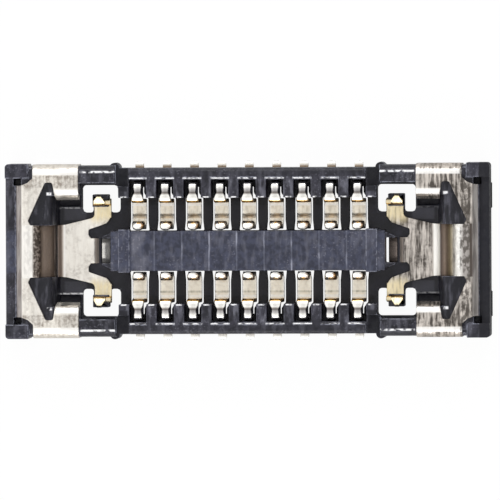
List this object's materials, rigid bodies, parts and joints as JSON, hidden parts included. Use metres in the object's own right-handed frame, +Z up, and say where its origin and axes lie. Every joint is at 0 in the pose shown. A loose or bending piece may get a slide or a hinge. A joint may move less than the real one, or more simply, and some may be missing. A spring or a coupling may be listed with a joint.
{
  "type": "fpc connector",
  "caption": "Low-profile board connector receptacle: moulded housing with a centre island, two rows of spring contacts and a folded metal fitting at each end.",
  "frame": {"origin": "middle of the soldering plane, under the centre of the island", "axes": "+X along the contact rows, +Y across them, +Z up out of the mating face"},
  "size_m": [0.0062, 0.0022, 0.0006],
  "materials": {
    "housing": "satin",
    "contact": "gold plated",
    "end_fitting": "plated sheet"
  },
  "bodies": {
    "root": {"housing": "housing", "contact_a1": "contact", "contact_a2": "contact", "contact_a3": "contact", "contact_a4": "contact", "contact_a5": "contact", "contact_a6": "contact", "contact_a7": "contact", "contact_a8": "contact", "contact_a9": "contact", "contact_b1": "contact", "contact_b2": "contact", "contact_b3": "contact", "contact_b4": "contact", "contact_b5": "contact", "contact_b6": "contact", "contact_b7": "contact", "contact_b8": "contact", "contact_b9": "contact", "end_fitting_left": "end_fitting", "end_fitting_right": "end_fitting"}
  },
  "joints": []
}
